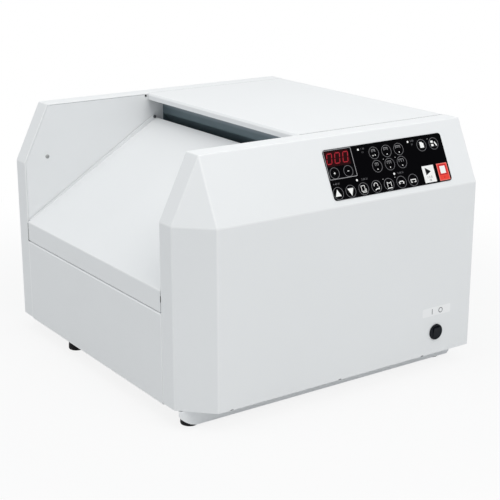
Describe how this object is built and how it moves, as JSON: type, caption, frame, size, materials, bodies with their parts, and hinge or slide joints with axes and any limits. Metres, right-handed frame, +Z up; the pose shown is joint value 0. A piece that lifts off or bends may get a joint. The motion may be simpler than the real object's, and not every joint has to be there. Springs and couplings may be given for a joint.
{
  "type": "booklet maker",
  "caption": "Desk booklet maker with two bevelled side housings, a sloping delivery deck, a hinged lid, a membrane control panel and a stapling and folding mechanism inside.",
  "frame": {"origin": "on the surface that the feet stand on, under the middle of the two side housings", "axes": "+X to the operator's right, +Y away from the operator across the machine, +Z up; the control panel faces -Y and the deck's low end -X"},
  "size_m": [0.482, 0.5445, 0.3595],
  "materials": {
    "paint": "light grey textured paint",
    "pan": "pale grey paint",
    "steel": "satin",
    "zinc": "zinc-plated sheet",
    "black_plastic": "fine matt",
    "foot_rubber": "matt",
    "roller_rubber": "ground matt",
    "nylon": "moulded",
    "overlay_film": "satin film",
    "board": "solder mask",
    "motor_grey": "dark grey"
  },
  "bodies": {
    "root": {"near_cover": "paint", "far_cover": "paint", "side_plate_near": "paint", "side_plate_far": "paint", "lower_left_panel": "paint", "rear_end_panel": "paint", "infeed_panel": "paint", "base_pan": "pan", "foot_near_left": "foot_rubber", "foot_far_left": "foot_rubber", "foot_near_right": "foot_rubber", "foot_far_right": "foot_rubber", "stop_belt": "foot_rubber", "drive_belt": "foot_rubber", "control_overlay": "overlay_film", "control_board": "board", "power_switch_bezel": "black_plastic", "mains_inlet": "black_plastic", "staple_magazine_near": "black_plastic", "staple_magazine_far": "black_plastic", "lower_guide": "zinc", "upper_guide": "zinc", "exit_guide_left": "zinc", "stapler_head_near": "zinc", "stapler_head_far": "zinc", "power_supply": "zinc", "exit_guide_right": "motor_grey", "fold_motor": "motor_grey", "knife_motor": "motor_grey", "stop_motor": "motor_grey", "jogger_motor": "motor_grey", "deck_pivot_near": "steel", "deck_pivot_far": "steel", "knife_guide": "steel", "stapler_rail": "steel", "clincher_bar": "steel"},
    "lid": {"top_cover": "paint"},
    "deck_plate": {"deck": "paint"},
    "rocker": {"power_rocker": "black_plastic"},
    "drive_roller": {"fold_roller_drive": "roller_rubber", "fold_gear_drive": "nylon"},
    "idle_roller": {"fold_roller_idle": "roller_rubber", "fold_gear_idle": "nylon"},
    "motor_gear": {"fold_motor_pinion": "steel"},
    "delivery_drive": {"delivery_roller_drive": "roller_rubber"},
    "delivery_idle": {"delivery_roller_idle": "roller_rubber"},
    "knife": {"knife_carriage": "zinc", "knife_blade": "steel"},
    "knife_shaft": {"knife_pinion_shaft": "steel"},
    "ram_near": {"stapler_ram_near": "steel"},
    "ram_far": {"stapler_ram_far": "steel"},
    "stop": {"stop_bar": "steel"},
    "stop_drive": {"stop_drive_pulley": "nylon"},
    "stop_idler": {"stop_idler_pulley": "nylon"},
    "side_jogger_near": {"jogger_near": "zinc"},
    "side_jogger_far": {"jogger_far": "zinc"},
    "jogger_gear": {"jogger_pinion": "nylon"}
  },
  "joints": [
    {"name": "lid_hinge", "type": "hinge", "parent": "root", "child": "lid", "pos_m": [0.228, 0, 0.3465], "axis": [0, 1, 0], "range_deg": [0, 75]},
    {"name": "deck_hinge", "type": "hinge", "parent": "root", "child": "deck_plate", "pos_m": [-0.01393, 0, 0.32137], "axis": [0, 1, 0], "range_deg": [0, 45]},
    {"name": "power_rocker_tilt", "type": "hinge", "parent": "root", "child": "rocker", "pos_m": [0.1746, -0.269, 0.0602], "axis": [-1, 0, 0], "range_deg": [0, 14]},
    {"name": "fold_drive_spin", "type": "hinge", "parent": "root", "child": "drive_roller", "pos_m": [0.04076, 0, 0.22323], "axis": [0, 1, 0], "continuous": true},
    {"name": "fold_idle_spin", "type": "hinge", "parent": "root", "child": "idle_roller", "pos_m": [0.06546, 0, 0.23804], "axis": [0, 1, 0], "continuous": true},
    {"name": "fold_pinion_spin", "type": "hinge", "parent": "root", "child": "motor_gear", "pos_m": [0.01735, 0, 0.20918], "axis": [0, 1, 0], "continuous": true},
    {"name": "delivery_drive_spin", "type": "hinge", "parent": "root", "child": "delivery_drive", "pos_m": [0.00338, 0, 0.28942], "axis": [0, 1, 0], "continuous": true},
    {"name": "delivery_idle_spin", "type": "hinge", "parent": "root", "child": "delivery_idle", "pos_m": [0.02464, 0, 0.30218], "axis": [0, 1, 0], "continuous": true},
    {"name": "knife_stroke", "type": "slide", "parent": "root", "child": "knife", "axis": [-0.5145, 0, 0.8575], "range_m": [0, 0.032]},
    {"name": "knife_shaft_turn", "type": "hinge", "parent": "root", "child": "knife_shaft", "pos_m": [0.11807, 0, 0.16465], "axis": [0, 1, 0], "range_deg": [-5, 200]},
    {"name": "staple_stroke_near", "type": "slide", "parent": "root", "child": "ram_near", "axis": [0.5145, 0, -0.8575], "range_m": [0, 0.014]},
    {"name": "staple_stroke_far", "type": "slide", "parent": "root", "child": "ram_far", "axis": [0.5145, 0, -0.8575], "range_m": [0, 0.014]},
    {"name": "stop_travel", "type": "slide", "parent": "root", "child": "stop", "axis": [0.8575, 0, 0.5145], "range_m": [0, 0.12]},
    {"name": "stop_drive_turn", "type": "hinge", "parent": "root", "child": "stop_drive", "pos_m": [-0.11678, 0, 0.07063], "axis": [0, 1, 0], "range_deg": [-800, 800]},
    {"name": "stop_idler_turn", "type": "hinge", "parent": "root", "child": "stop_idler", "pos_m": [0.01185, 0, 0.1478], "axis": [0, 1, 0], "range_deg": [-800, 800]},
    {"name": "jogger_near_travel", "type": "slide", "parent": "root", "child": "side_jogger_near", "axis": [0, 1, 0], "range_m": [0, 0.046]},
    {"name": "jogger_far_travel", "type": "slide", "parent": "root", "child": "side_jogger_far", "axis": [0, 1, 0], "range_m": [-0.046, 0]},
    {"name": "jogger_gear_turn", "type": "hinge", "parent": "root", "child": "jogger_gear", "pos_m": [-0.02235, 0, 0.16204], "axis": [-0.5145, 0, 0.8575], "range_deg": [-300, 300]}
  ],
  "couplings": [
    {"joint": "fold_idle_spin", "follows": "fold_drive_spin", "ratio": -1},
    {"joint": "fold_pinion_spin", "follows": "fold_drive_spin", "ratio": -1.1176},
    {"joint": "delivery_drive_spin", "follows": "fold_drive_spin", "ratio": 1.2193},
    {"joint": "delivery_idle_spin", "follows": "fold_drive_spin", "ratio": -1.2193},
    {"joint": "knife_shaft_turn", "follows": "knife_stroke", "rad_per_m": 104.17},
    {"joint": "staple_stroke_far", "follows": "staple_stroke_near", "ratio": 1},
    {"joint": "stop_drive_turn", "follows": "stop_travel", "rad_per_m": 112.36},
    {"joint": "stop_idler_turn", "follows": "stop_travel", "rad_per_m": 112.36},
    {"joint": "jogger_far_travel", "follows": "jogger_near_travel", "ratio": -1},
    {"joint": "jogger_gear_turn", "follows": "jogger_near_travel", "rad_per_m": 104.17}
  ]
}
